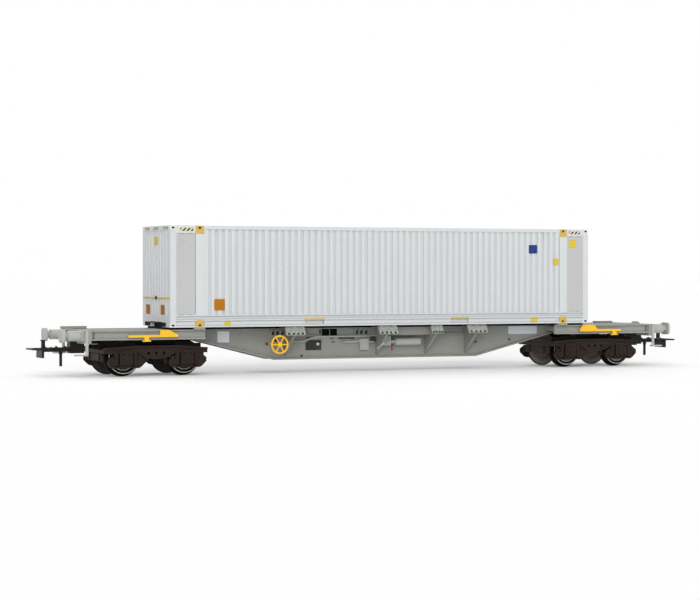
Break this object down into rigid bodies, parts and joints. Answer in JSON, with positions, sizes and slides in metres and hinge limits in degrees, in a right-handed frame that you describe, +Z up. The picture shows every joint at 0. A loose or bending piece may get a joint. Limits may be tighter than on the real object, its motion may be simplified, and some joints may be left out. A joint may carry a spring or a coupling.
{
  "type": "scale model container wagon",
  "caption": "Model railway flat wagon with a deep centre girder, swivelling bogies, loop couplers and a long ribbed container that lifts off its spigots.",
  "frame": {"origin": "middle of the wagon on the plane under the wheel flanges", "axes": "+X along the wagon to the container's door end, +Y to the far side, +Z up"},
  "size_m": [0.2428, 0.0294, 0.049],
  "materials": {
    "wagon_grey": "satin moulded plastic",
    "buffer_grey": "satin moulded plastic",
    "bogie_brown": "matt moulded plastic",
    "wheel_rim": "turned and blackened",
    "wheel_disc": "matt moulded plastic",
    "screw_steel": "plain",
    "coupler_black": "satin moulded plastic",
    "signal_yellow": "printed satin",
    "container_grey": "satin moulded plastic",
    "container_under": "matt moulded plastic",
    "casting_white": "printed satin",
    "casting_yellow": "printed satin"
  },
  "bodies": {
    "wagon": {"centre_girder": "wagon_grey", "pivot_screws": "screw_steel", "outriggers": "wagon_grey", "support_flaps_near": "wagon_grey", "support_flaps_far": "wagon_grey", "end_sills": "wagon_grey", "cross_members": "wagon_grey", "headstock_left": "wagon_grey", "headstock_right": "wagon_grey", "buffer_near_left": "buffer_grey", "buffer_near_right": "buffer_grey", "buffer_far_left": "buffer_grey", "buffer_far_right": "buffer_grey", "corner_steps": "wagon_grey", "brake_levers": "signal_yellow", "end_pads": "wagon_grey", "spigots": "wagon_grey", "handwheels": "signal_yellow", "air_tanks": "wagon_grey", "brake_valves": "wagon_grey", "brake_pipe": "wagon_grey"},
    "bogie_left": {"bogie_frame_left": "bogie_brown", "brake_shoes_left": "bogie_brown"},
    "bogie_right": {"bogie_frame_right": "bogie_brown", "brake_shoes_right": "bogie_brown"},
    "wheelset_1": {"wheel_rims_1": "wheel_rim", "axle_1": "wheel_disc"},
    "wheelset_2": {"wheel_rims_2": "wheel_rim", "axle_2": "wheel_disc"},
    "wheelset_3": {"wheel_rims_3": "wheel_rim", "axle_3": "wheel_disc"},
    "wheelset_4": {"wheel_rims_4": "wheel_rim", "axle_4": "wheel_disc"},
    "coupling_left": {"drawbar_left": "coupler_black", "coupler_left": "coupler_black"},
    "loop_left": {"coupler_loop_left": "coupler_black"},
    "coupling_right": {"drawbar_right": "coupler_black", "coupler_right": "coupler_black"},
    "loop_right": {"coupler_loop_right": "coupler_black"},
    "container": {"container_bottom_rails": "container_grey", "container_top_rails": "container_grey", "container_front_rails": "container_grey", "container_door_rails": "container_grey", "container_corner_posts": "container_grey", "container_frame_posts": "container_grey", "container_corner_castings": "casting_white", "container_frame_castings": "casting_yellow", "container_wall_near": "container_grey", "container_wall_far": "container_grey", "container_front_wall": "container_grey", "container_door_near": "container_grey", "container_door_far": "container_grey", "container_lock_rods": "container_grey", "container_roof": "container_grey", "container_floor": "container_under"}
  },
  "joints": [
    {"name": "bogie_left_swivel", "type": "hinge", "parent": "wagon", "child": "bogie_left", "pos_m": [-0.0825, 0, 0.01028], "axis": [0, 0, -1], "range_deg": [-15, 15]},
    {"name": "bogie_right_swivel", "type": "hinge", "parent": "wagon", "child": "bogie_right", "pos_m": [0.0825, 0, 0.01028], "axis": [0, 0, 1], "range_deg": [-15, 15]},
    {"name": "wheelset_1_spin", "type": "hinge", "parent": "bogie_left", "child": "wheelset_1", "pos_m": [-0.0929, 0, 0.00605], "axis": [0, 1, 0], "continuous": true},
    {"name": "wheelset_2_spin", "type": "hinge", "parent": "bogie_left", "child": "wheelset_2", "pos_m": [-0.0721, 0, 0.00605], "axis": [0, 1, 0], "continuous": true},
    {"name": "wheelset_3_spin", "type": "hinge", "parent": "bogie_right", "child": "wheelset_3", "pos_m": [0.0721, 0, 0.00605], "axis": [0, 1, 0], "continuous": true},
    {"name": "wheelset_4_spin", "type": "hinge", "parent": "bogie_right", "child": "wheelset_4", "pos_m": [0.0929, 0, 0.00605], "axis": [0, 1, 0], "continuous": true},
    {"name": "coupling_left_swing", "type": "hinge", "parent": "wagon", "child": "coupling_left", "pos_m": [-0.0996, 0, 0.01065], "axis": [0, 0, -1], "range_deg": [-15, 15]},
    {"name": "loop_left_lift", "type": "hinge", "parent": "coupling_left", "child": "loop_left", "pos_m": [-0.1154, 0, 0.009], "axis": [0, 1, 0], "range_deg": [0, 25]},
    {"name": "coupling_right_swing", "type": "hinge", "parent": "wagon", "child": "coupling_right", "pos_m": [0.0996, 0, 0.01065], "axis": [0, 0, 1], "range_deg": [-15, 15]},
    {"name": "loop_right_lift", "type": "hinge", "parent": "coupling_right", "child": "loop_right", "pos_m": [0.1154, 0, 0.009], "axis": [0, -1, 0], "range_deg": [0, 25]},
    {"name": "container_lift", "type": "slide", "parent": "wagon", "child": "container", "axis": [0, 0, 1], "range_m": [0, 0.04]}
  ]
}
